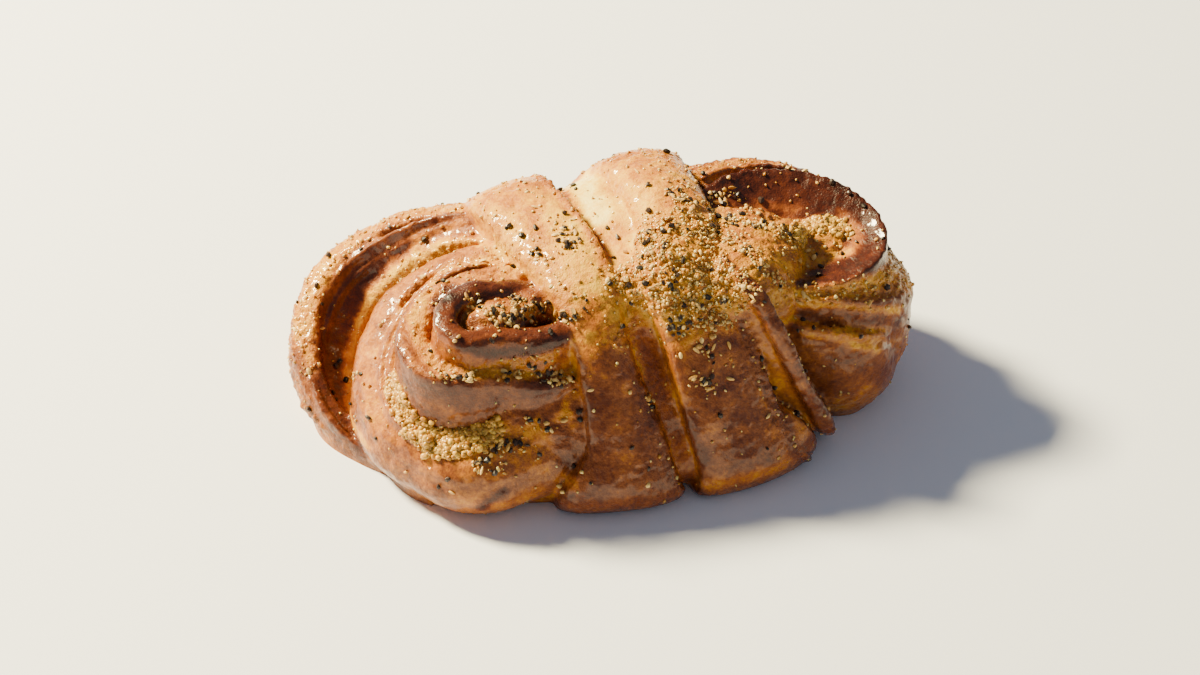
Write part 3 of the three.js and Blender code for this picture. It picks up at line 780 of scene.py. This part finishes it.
# %% Second coat: the folds over the middle
FOLD_STROKES = [
    ([(482, 207), (509, 228), (530, 252), (549, 273), (566, 292)], 5, dict(bake=0.36, grain=0.45)),
    ([(555, 215), (573, 240), (586, 274), (596, 309), (602, 330)], 4.5, dict(bake=0.28, grain=0.3)),
    ([(500, 196), (530, 190)], 3, dict(bake=0.42)),
    ([(545, 179), (571, 199), (586, 217), (599, 240), (614, 266)], 1.5, dict(bake=0.5, grain=0.9)),
    ([(604, 217), (614, 240), (619, 262), (626, 284)], 4, dict(bake=0.34, grain=0.3)),
    ([(578, 176), (589, 197), (602, 214)], 4.2, dict(bake=0.08, grain=0.05, soak=0)),
    ([(591, 161), (625, 156), (660, 153)], 3, dict(bake=0.42, grain=0.6)),
    ([(607, 186), (643, 189), (640, 215)], 3.5, dict(bake=0.32, grain=0.5)),
    ([(663, 163), (676, 181), (673, 207)], 3, dict(bake=0.42, grain=0.6)),
    ([(655, 227), (694, 225), (719, 238)], 5.5, dict(bake=0.38, soak=0.1, grain=1, seeds=0.32, sugar=1)),
    ([(643, 245), (668, 258), (694, 271), (719, 274)],
     5.5, dict(bake=0.38, soak=0.1, grain=1, seeds=0.32, sugar=1)),
    ([(630, 279), (655, 294), (681, 307), (719, 307), (735, 290)],
     5.5, dict(bake=0.38, soak=0.1, grain=1, seeds=0.32, sugar=1)),
    ([(655, 300), (681, 311), (712, 312), (735, 298)], 2.8, dict(bake=0.40, soak=0, grain=1, sugar=1.2)),
    ([(591, 306), (604, 330), (599, 351)], 3.5, dict(bake=0.42, soak=0.3, grain=0.1)),
    ([(583, 390), (600, 352), (617, 338), (637, 320)], 1.6, dict(bake=0.44, grain=0.8)),
    ([(578, 350), (581, 374), (581, 399)], 1.5, dict(bake=0.48, soak=0.4)),
    ([(607, 384), (612, 412), (617, 451), (622, 489)], 9, dict(bake=0.62, grain=0)),
    ([(596, 397), (596, 438), (591, 474), (606, 500)], 2.8, dict(bake=0.66)),
    ([(640, 392), (648, 407), (661, 448), (678, 489)], 1.8, dict(bake=0.7, grain=0.3)),
    ([(625, 386)], 2.4, dict(bake=0.54)),
    ([(627, 433), (634, 460)], 2, dict(bake=0.57)),
    ([(571, 486), (560, 478)], 2, dict(bake=0.42, soak=0.4)),
    ([(643, 335), (653, 368), (666, 407), (678, 443), (689, 481)],
     3, dict(bake=0.52, soak=0.85, grain=0.2)),
    ([(694, 366), (714, 399), (735, 438), (745, 468)], 9, dict(bake=0.61, grain=0)),
    ([(673, 343), (704, 333), (730, 325)], 2.8, dict(bake=0.44, soak=0.2, grain=0.4)),
    ([(666, 348), (676, 386), (681, 402)], 1.3, dict(bake=0.44, soak=0.3)),
    ([(684, 412), (694, 433), (704, 463)], 1.8, dict(bake=0.69)),
    ([(704, 345), (735, 343)], 2, dict(bake=0.66)),
    ([(725, 372), (735, 392)], 2.2, dict(bake=0.67)),
    ([(740, 448), (755, 440)], 3, dict(bake=0.68)),
    ([(715, 420), (712, 440)], 2, dict(bake=0.56)),
    ([(743, 320), (758, 353), (768, 386), (778, 417), (796, 445), (812, 461)],
     1.8, dict(bake=0.62, grain=0.8)),
    ([(707, 486), (745, 479), (784, 466)], 2.2, dict(bake=0.44, soak=0.5)),
    ([(755, 325), (771, 361), (786, 399), (802, 433)], 2.6, dict(bake=0.48, soak=0.1)),
    ([(766, 325), (786, 356), (804, 386)], 1.4, dict(bake=0.6)),
    ([(745, 281), (766, 307), (786, 335), (807, 368), (822, 402), (832, 430)], 1.9, dict(bake=0.66)),
]
brush_all(FOLD_STROKES)

# %% Second coat: the right swirl
RIGHT_SWIRL_STROKES = [
    ([(684, 168), (719, 156), (758, 153)], 2.4, dict(bake=0.46, grain=0.4)),
    ([(709, 189), (735, 174), (771, 166), (809, 171), (843, 189), (868, 209), (884, 233), (884, 253)],
     2.6, dict(bake=0.84, grain=0.25)),
    ([(719, 203), (745, 208), (771, 206), (796, 210)], 1.8, dict(bake=0.6)),
    ([(843, 215), (858, 233), (855, 245)], 2.2, dict(bake=0.52)),
    ([(786, 264), (817, 262), (848, 253)], 2.8, dict(bake=0.40, soak=0, grain=0.4, seeds=0.3)),
    ([(802, 284), (827, 279), (855, 274), (876, 261)], 1.6, dict(bake=0.86)),
    ([(719, 222), (745, 222), (771, 227), (791, 235)],
     3, dict(bake=0.38, soak=0.2, grain=1, seeds=0.5, sugar=0.8)),
    ([(750, 253), (771, 270), (781, 282)], 2.6, dict(bake=0.42, grain=0.8, seeds=0.6, sugar=0.5)),
    ([(802, 233), (822, 225), (843, 233)],
     2.6, dict(bake=0.18, soak=0.55, grain=1, seeds=0.2, sugar=0.6)),
    ([(796, 294), (822, 292), (861, 284), (894, 274)], 2.6, dict(bake=0.40, soak=0, grain=1, sugar=0.3)),
    ([(899, 258), (909, 284)], 2.4, dict(bake=0.34, soak=0.3, grain=0.9)),
    ([(799, 306), (827, 305), (861, 308), (899, 311)], 1.3, dict(bake=0.36, grain=0.8)),
    ([(802, 312), (835, 317), (873, 320), (899, 320)], 1.6, dict(bake=0.68, grain=0)),
    ([(809, 325), (843, 333), (873, 340), (899, 343)], 1.3, dict(bake=0.44, soak=0.1, grain=0.7)),
    ([(804, 333), (835, 339), (868, 349), (896, 354)], 1.2, dict(bake=0.38, grain=0.3)),
    ([(817, 356), (835, 376), (861, 378), (886, 368)], 5.5, dict(bake=0.6, grain=0, soak=0)),
    ([(835, 409), (855, 402), (866, 389)], 2.2, dict(bake=0.42, soak=0.3)),
]
brush_all(RIGHT_SWIRL_STROKES)

# %% [markdown]
# The spice fell in handfuls, so it lies in clusters with bare crust between them.

# %% Clusters of spice and sugar
SPICE_CLUSTERS = [
    ([(565, 232), (572, 245)], 2.4), ([(533, 250), (545, 262)], 1.6), ([(590, 300)], 1.6),
    ([(515, 300), (545, 310), (575, 318)], 2.2), ([(490, 316), (515, 322)], 1.6),
    ([(470, 296), (482, 306)], 1.4), ([(440, 375), (470, 378)], 1.6), ([(510, 372), (545, 360)], 2),
    ([(540, 372), (568, 380)], 2.4), ([(490, 450), (520, 445)], 2), ([(535, 422), (548, 428)], 1.6),
    ([(478, 463), (505, 470)], 1.6), ([(700, 345), (716, 350)], 1.8), ([(694, 380), (712, 386)], 1.6),
    ([(645, 390), (652, 405)], 1.2), ([(672, 190), (690, 205)], 2.4), ([(715, 200), (735, 196)], 1.8),
    ([(800, 292), (806, 300)], 1.4), ([(798, 330)], 1), ([(672, 325), (690, 330)], 2),
]
SUGAR_STROKES = [
    ([(400, 390), (420, 430), (470, 440)], 3, dict(sugar=0.6)),
    ([(299, 300), (297, 340)], 2.4, dict(sugar=0.12)),
]
for path, reach in SPICE_CLUSTERS:
    brush(path, reach, seeds=1.3, sugar=0.5)
brush_all(SUGAR_STROKES)

# %% Blend the coats
for channel in CHANNELS:
    skin[channel] = smoothed(skin[channel], edges, count, 4).ravel().clip(0, 1.2)

# %% [markdown]
# ## Relief
# The crust isn't smooth. Proving leaves soft lumps, baking pulls fine wrinkles, rims go
# ragged where sugar boiled through them, and grain stands up in sandy patches. Bump in the
# material can't change an outline, so all of it down to half a millimetre is moved in the
# mesh itself, along each point's normal.

# %% Relief
def noise_at(size, seed, octaves=1):
    """Smooth noise from -1 to 1 over the skin, with waves `size` mm long."""
    shifted = (points / size + seed * 17.3).tolist()
    if octaves == 1:
        return np.array([noise.noise(place) for place in shifted])
    return np.array([noise.fractal(place, 1.0, 2.0, octaves) for place in shifted])


lumps = noise_at(8.0, 1)
wrinkles = noise_at(2.4, 2, 3)
ragged = noise_at(1.5, 3)
grains = noise_at(0.95, 4)
clots = noise_at(1.9, 5)
relief = 0.30 * lumps + 0.20 * wrinkles
relief += 0.45 * ragged * ridge * (0.25 + skin["grain"])
relief += grains * (0.11 + 0.38 * skin["grain"]) + 0.55 * clots * np.minimum(skin["sugar"], 1)
relief *= ramp(0.2, 2.0, points[:, 2])  # the base stays flat
points = points + normals * relief[:, None]
points[:, 2] = np.maximum(points[:, 2], 0)
move_points(bun.data, points)
print("relief, mm:", relief.min().round(2), "to", relief.max().round(2))

# %% [markdown]
# The even grid spends as many faces on the flat base as on the rims. Decimation takes them
# out where the skin is flat first, and the painted numbers are carried over to the points
# that stay.

# %% Thin the mesh out and carry the paint over
MOST_TRIANGLES = 190000
thin = bun.modifiers.new("thin out", "DECIMATE")
thin.ratio = MOST_TRIANGLES / (2 * len(bun.data.polygons))
thin.use_collapse_triangulate = True
baked(bun)
final_points = points_of(bun.data)
source = nearest_in(points, final_points)
skin = {channel: skin[channel][source] for channel in CHANNELS}
for channel in ("bake", "soak", "grain"):
    store(bun.data, channel, skin[channel])
shade_smooth(bun.data)
final_points = final_points * MM
move_points(bun.data, final_points)
print("bun:", len(bun.data.polygons), "triangles")

# %% [markdown]
# ## What was sprinkled on
# Crushed cardamom is three things: black angular bits of seed, straw-coloured curls of husk,
# and dust, which the crust's colour already has. With them lie grains of pearl sugar, and
# along the creases the filling broke out in sticky crumbs. A thing of each kind is made by
# bending one small solid at random, hundreds or thousands of them are dropped where the
# brush said, and each kind is joined in one mesh.

# %% Where things lie
dice = np.random.default_rng(20)  # the same throws each run
corners = corners_of(bun.data).reshape(-1, 3)
skin_corners = final_points[corners] / MM
face_cross = np.cross(skin_corners[:, 1] - skin_corners[:, 0], skin_corners[:, 2] - skin_corners[:, 0])
face_area = np.linalg.norm(face_cross, axis=1) / 2
face_normal = face_cross / np.maximum(2 * face_area, 1e-9)[:, None]
faces_up = ramp(-0.1, 0.7, face_normal[:, 2])  # little stays on a steep face


def drop(how_many, density, apart):
    """Places and normals for things strewn by density, no two nearer than `apart` mm."""
    weight = face_area * density
    face = dice.choice(len(weight), size=how_many * 3, p=weight / weight.sum())
    shares = dice.dirichlet((1, 1, 1), size=len(face))
    places = np.einsum("nk,nkd->nd", shares, skin_corners[face])
    taken = {}
    chosen = []
    for k, place in enumerate(places):
        cell = tuple((place // apart).astype(int))
        if cell not in taken:
            taken[cell] = k
            chosen.append(k)
        if len(chosen) == how_many:
            break
    return places[chosen], face_normal[face[chosen]]


def on_faces(channel):
    return skin[channel][corners].mean(axis=1)


# %% One mesh from many small solids
def frames_at(normals):
    """For each normal, a random pair of directions square to it and to each other."""
    spin = dice.normal(size=normals.shape)
    first = np.cross(normals, spin)
    first /= np.linalg.norm(first, axis=1)[:, None]
    return np.stack([first, np.cross(normals, first), normals], axis=1)


def strewn(name, shapes, faces, places, normals, raised):
    """Sets each shape on its place, its middle `raised` mm off the skin, and joins them."""
    turned = np.einsum("nkd,nde->nke", shapes, frames_at(normals))
    turned += (places + normals * raised[:, None])[:, None]
    number, size = turned.shape[:2]
    all_faces = (faces[None] + np.arange(number)[:, None, None] * size).reshape(-1, faces.shape[1])
    flat = turned.reshape(-1, 3)
    flat[:, 2] = np.maximum(flat[:, 2], 0)
    made = piece(name, mesh_from(name, flat * MM, all_faces.tolist()))
    store(made.data, "tint", np.repeat(dice.uniform(0, 1, number), size))
    print(name + ":", number, "pieces,", len(all_faces), "faces")
    return made


def round_solid(divisions):
    """Points and triangles of an even ball of radius 1."""
    ball = bmesh.new()
    bmesh.ops.create_icosphere(ball, subdivisions=divisions, radius=1)
    ball_points = np.array([corner.co[:] for corner in ball.verts])
    ball_faces = np.array([[corner.index for corner in face.verts] for face in ball.faces])
    ball.free()
    return ball_points, ball_faces


# %% Cardamom seeds, crushed: black angular bits, 0.8 to 2 mm long
SEEDS = 300
seed_points, seed_faces = round_solid(1)
places, directions = drop(SEEDS, (0.03 + on_faces("seeds") ** 1.5) * faces_up, 1.1)
number = len(places)
half_sizes = dice.uniform(0.42, 0.85, (number, 1, 1))
half_sizes = half_sizes * dice.uniform([0.9, 0.6, 0.5], [1.2, 0.95, 0.75], (number, 1, 3))
bits = seed_points[None] * half_sizes * dice.uniform(0.72, 1.15, (number, len(seed_points), 1))
seeds = strewn("cardamom_seeds", bits, seed_faces, places, directions, half_sizes[:, 0, 2] * 0.55)

# %% Husk: straw-coloured curls and chips, 0.8 to 1.9 mm long
HUSKS = 230
HUSK_GRID = (5, 4)  # points along a husk and across it
HUSK_THICK = 0.12
places, directions = drop(HUSKS, (0.025 + on_faces("seeds") ** 1.3) * faces_up, 1.0)
number = len(places)
lengthwise, crosswise = np.meshgrid(*(np.linspace(-1, 1, size) for size in HUSK_GRID), indexing="ij")
half_length = dice.uniform(0.4, 0.95, (number, 1, 1))
half_width = dice.uniform(0.22, 0.5, (number, 1, 1))
curl = dice.uniform(0.15, 0.7, (number, 1, 1))
twist = dice.uniform(-0.3, 0.3, (number, 1, 1))
outer_side = np.stack([
    half_length * lengthwise * (1 - 0.2 * crosswise ** 2),
    half_width * crosswise * (1 - 0.35 * lengthwise ** 2),
    curl * (0.5 - 0.6 * lengthwise ** 2 - 0.5 * crosswise ** 2) + twist * lengthwise * crosswise,
], axis=-1).reshape(number, -1, 3)
husk_points = np.concatenate([outer_side, outer_side - [0, 0, HUSK_THICK]], axis=1)
below = lengthwise.size  # from a point of the outer side to the one under it
index = np.arange(below).reshape(HUSK_GRID)
top_faces = np.stack([
    index[:-1, :-1], index[1:, :-1], index[1:, 1:], index[:-1, 1:],
], axis=-1).reshape(-1, 4)
rim = np.concatenate([index[:, 0], index[-1, 1:], index[-2::-1, -1], index[0, -2:0:-1]])
rim_after = np.roll(rim, -1)
side_faces = np.column_stack([rim_after, rim, rim + below, rim_after + below])
husk_faces = np.concatenate([top_faces, top_faces[:, ::-1] + below, side_faces])
husks = strewn("cardamom_husk", husk_points, husk_faces, places, directions, 0.25 + curl[:, 0, 0] * 0.2)

# %% Pearl sugar, half melted: blunt grains, the largest 1.2 mm
GRAINS = 3600
grain_points, grain_faces = round_solid(1)
spread = 0.02 + on_faces("sugar") + 0.09 * on_faces("grain")
places, directions = drop(GRAINS, spread * (0.15 + faces_up), 0.45)
number = len(places)
half_sizes = dice.uniform(0.16, 0.48, (number, 1, 1)) * dice.uniform(0.5, 1.25, (number, 1, 3))
bits = np.sign(grain_points) * np.abs(grain_points) ** 0.75 * half_sizes
bits = bits * dice.uniform(0.65, 1.2, (number, len(grain_points), 1))
sugar = strewn("pearl_sugar", bits, grain_faces, places, directions, half_sizes[:, 0, 2] * 0.2)
shade_smooth(sugar.data)

# %% Filling that broke out of the creases: sticky crumbs of about 0.5 to 1.8 mm
CRUMBS = 1300
HEAP_LINE = [(396, 385), (404, 405), (416, 428), (432, 442), (452, 444), (474, 440), (492, 432)]
PASTE_LINE = [(800, 234), (812, 226), (828, 225), (840, 230)]
LOOKS_A_STEP = 5  # places looked up between two points of a line
crumb_points, crumb_faces = round_solid(2)
skin["filling"] = np.zeros(len(final_points))
for line, reach in ((HEAP_LINE, 3.0), (PASTE_LINE, 2.6)):
    for (x0, y0), (x1, y1) in zip(line, line[1:]):
        for step in np.linspace(0, 1, LOOKS_A_STEP):
            place = spot(x0 + (x1 - x0) * step, y0 + (y1 - y0) * step)[0]
            if place is not None:
                away = np.linalg.norm(final_points / MM - place, axis=1)
                skin["filling"] = np.maximum(skin["filling"], ramp(reach, 0.3 * reach, away))
places, directions = drop(CRUMBS, on_faces("filling") ** 1.2, 0.45)
number = len(places)
half_sizes = dice.uniform(0.3, 0.78, (number, 1, 1)) * dice.uniform(0.75, 1.15, (number, 1, 3))
lumpy = np.array([[noise.noise((corner * 1.5 + k * 7.7).tolist()) for corner in crumb_points]
                  for k in range(number)])
bits = crumb_points[None] * half_sizes * (1 + 0.45 * lumpy)[:, :, None]
crumbs = strewn("filling_crumbs", bits, crumb_faces, places, directions, half_sizes[:, 0, 2] * 0.15)
shade_smooth(crumbs.data)

# %% [markdown]
# ## Materials
# One function adds a node, sets it and links it, and one turns the colours of a swatch,
# which are written as sRGB, into the linear numbers that Blender mixes.

# %% Helpers for materials
def linear(swatch):
    parts = [int(swatch[k:k + 2], 16) / 255 for k in (1, 3, 5)]
    return tuple(c / 12.92 if c <= 0.04045 else ((c + 0.055) / 1.055) ** 2.4 for c in parts) + (1.0,)


def per(millimetres):
    """Noise scale for a pattern of that size, in waves per metre."""
    return 1000.0 / millimetres


def add(material, kind, settings=None, links=None):
    """Adds a node, sets its sockets and properties, and links outputs to its sockets."""
    tree = material.node_tree
    made = tree.nodes.new(kind)
    for key, value in (settings or {}).items():
        if isinstance(key, int) or key in made.inputs:
            made.inputs[key].default_value = value
        else:
            setattr(made, key, value)
    for key, output in (links or {}).items():
        tree.links.new(output, made.inputs[key])
    return made


def painted(material, name):
    """The number of that name which the mesh keeps for each point."""
    return add(material, "ShaderNodeAttribute", {"attribute_name": name}).outputs["Fac"]


def mottling(material, coords, millimetres, detail, roughness):
    """Noise with waves of that size."""
    return add(material, "ShaderNodeTexNoise", {
        "Scale": per(millimetres), "Detail": detail, "Roughness": roughness,
    }, {"Vector": coords}).outputs["Fac"]


def mapped(material, value, start, end, low, high):
    """Low where the value is start, high where it is end, and even in between."""
    return add(material, "ShaderNodeMapRange", {
        "From Min": start, "From Max": end, "To Min": low, "To Max": high,
    }, {"Value": value}).outputs[0]


def worked_out(material, operation, *terms):
    """What the operation makes of its terms, each a number or another node's output."""
    made = add(material, "ShaderNodeMath", {"operation": operation})
    for socket, term in zip(made.inputs, terms):
        if isinstance(term, float):
            socket.default_value = term
        else:
            material.node_tree.links.new(term, socket)
    return made.outputs[0]


def new_material(name):
    material = bpy.data.materials.new(name)
    material.use_nodes = True
    material.node_tree.nodes.clear()
    return material


def finish_material(material, shader):
    output = material.node_tree.nodes.new("ShaderNodeOutputMaterial")
    material.node_tree.links.new(shader.outputs[0], output.inputs["Surface"])


def ramp_colours(made, stops):
    """Sets a colour ramp's stops from {position: swatch}."""
    while len(made.color_ramp.elements) > 1:
        made.color_ramp.elements.remove(made.color_ramp.elements[-1])
    for k, (position, swatch) in enumerate(stops.items()):
        element = made.color_ramp.elements[0] if k == 0 else made.color_ramp.elements.new(position)
        element.position = position
        element.color = linear(swatch)


# %% [markdown]
# The crust is bread, brushed with egg before baking. Where it browned, the egg is a thin
# hard glaze, and where it stayed pale it is a little duller. So one number, `bake`, drives
# both the colour and the gloss, and noise at the size of the flour's own mottling keeps
# either from looking airbrushed. Fine pores show all over, most where sugar made it sandy.

# %% Egg-washed crust
BROWNING = {
    0.05: "#F2DC80", 0.20: "#E4B736", 0.33: "#D29524", 0.45: "#AF6B25", 0.57: "#814822",
    0.69: "#5C2D18", 0.82: "#421D12", 0.95: "#260F0A",
}
MIDDLE = (0.3, 0.7)  # between these lies nearly all that a noise gives
crust = new_material("egg_washed_crust")
coords = add(crust, "ShaderNodeTexCoord").outputs["Object"]
bake = painted(crust, "bake")
soak = painted(crust, "soak")
grain = painted(crust, "grain")
blotches = mottling(crust, coords, 5.0, 4.0, 0.6)
flecks = mottling(crust, coords, 0.9, 3.0, 0.6)
pores = mottling(crust, coords, 0.45, 2.0, 0.7)
tone = worked_out(crust, "ADD", bake, mapped(crust, blotches, *MIDDLE, -0.09, 0.09))
tone = worked_out(crust, "ADD", tone, mapped(crust, flecks, *MIDDLE, -0.065, 0.065))
browning = add(crust, "ShaderNodeValToRGB", None, {"Fac": tone})
ramp_colours(browning, BROWNING)
soaked = add(crust, "ShaderNodeMix", {
    "data_type": "RGBA", "blend_type": "MULTIPLY", 7: linear("#C9A68C"),
}, {0: soak, 6: browning.outputs["Color"]})
dullness = mapped(crust, tone, 0.25, 0.7, 0.40, 0.28)
dullness = worked_out(crust, "ADD", dullness, mapped(crust, flecks, *MIDDLE, -0.06, 0.10))
dullness = worked_out(crust, "MULTIPLY_ADD", grain, -0.06, dullness)
sandy = worked_out(crust, "MULTIPLY_ADD", grain, 1.4, 0.8)
height = worked_out(crust, "MULTIPLY", sandy, pores)
bumps = add(crust, "ShaderNodeBump", {"Strength": 0.8, "Distance": 0.00025}, {"Height": height})
crust_shader = add(crust, "ShaderNodeBsdfPrincipled", {
    "IOR": 1.36, "Specular IOR Level": 0.22,
    "Subsurface Weight": 0.06, "Subsurface Radius": (1.0, 0.45, 0.12), "Subsurface Scale": 0.002,
    "Coat Weight": 0.42, "Coat Roughness": 0.12, "Coat IOR": 1.45,
}, {"Base Color": soaked.outputs[2], "Roughness": dullness, "Normal": bumps.outputs["Normal"]})
finish_material(crust, crust_shader)
bun.data.materials.append(crust)

# %% [markdown]
# The strewn things get one short material each. Their `tint` differs from bit to bit, so that
# no two seeds or husks look alike.

# %% Cardamom, sugar and filling
def strewn_material(name, made, dark, light, roughness, extra=None):
    material = new_material(name)
    colour = add(material, "ShaderNodeMix", {
        "data_type": "RGBA", 6: linear(dark), 7: linear(light),
    }, {0: painted(material, "tint")})
    shader = add(material, "ShaderNodeBsdfPrincipled", {
        "Roughness": roughness, "IOR": 1.45, **(extra or {}),
    }, {"Base Color": colour.outputs[2]})
    finish_material(material, shader)
    made.data.materials.append(material)


soft = {"Subsurface Weight": 0.3, "Subsurface Radius": (1.0, 0.6, 0.3), "Subsurface Scale": 0.001}
strewn_material("crushed_cardamom_seed", seeds, "#0E0A08", "#35221A", 0.42)
strewn_material("dry_cardamom_husk", husks, "#A8752C", "#E6C57C", 0.5)
strewn_material("half_melted_sugar", sugar, "#C48A36", "#F2D48C", 0.16, {**soft, "Transmission Weight": 0.25})
strewn_material("caramelised_filling", crumbs, "#9C681E", "#E4B04C", 0.2, soft)

# %% [markdown]
# ## Stage and light
# A photographer lights food from behind and to one side, so that the gloss runs along every
# ridge. A small warm window does that here. A pale room and a weak light fill the front.

# %% Floor, window and room
FLOOR_HALF = 3.0  # metres
floor_corners = [(x * FLOOR_HALF, y * FLOOR_HALF, 0) for x, y in ((-1, -1), (1, -1), (1, 1), (-1, 1))]
floor = piece("floor", mesh_from("floor", floor_corners, [(0, 1, 2, 3)]))
paper = new_material("matt_white_paper")
paper_shader = add(paper, "ShaderNodeBsdfPrincipled", {
    "Base Color": linear("#E8EEFF"), "Roughness": 0.9,
})
finish_material(paper, paper_shader)
floor.data.materials.append(paper)


def window(name, place, size, watts, warmth):
    """A square light that looks at the bun from `place`, in metres."""
    light = bpy.data.lights.new(name, "AREA")
    light.shape = "SQUARE"
    light.size = size
    light.energy = watts
    light.color = linear(warmth)[:3]
    lamp = bpy.data.objects.new(name, light)
    lamp.location = place
    lamp.rotation_euler = Vector(place).to_track_quat("Z", "Y").to_euler()
    bpy.context.scene.collection.objects.link(lamp)


window("window_behind_left", (-0.6, 0.6, 0.75), 0.2, 84, "#FFECB6")
window("fill_front_right", (0.7, -0.7, 0.6), 0.9, 0.8, "#FFFFFF")
world = bpy.data.worlds.new("pale_room")
world.use_nodes = True
world.node_tree.nodes["Background"].inputs["Color"].default_value = linear("#F2F6FF")
world.node_tree.nodes["Background"].inputs["Strength"].default_value = 0.25
bpy.context.scene.world = world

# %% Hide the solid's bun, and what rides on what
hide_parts("bun")
for made in (bun, seeds, husks, sugar, crumbs):
    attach(made, "root")
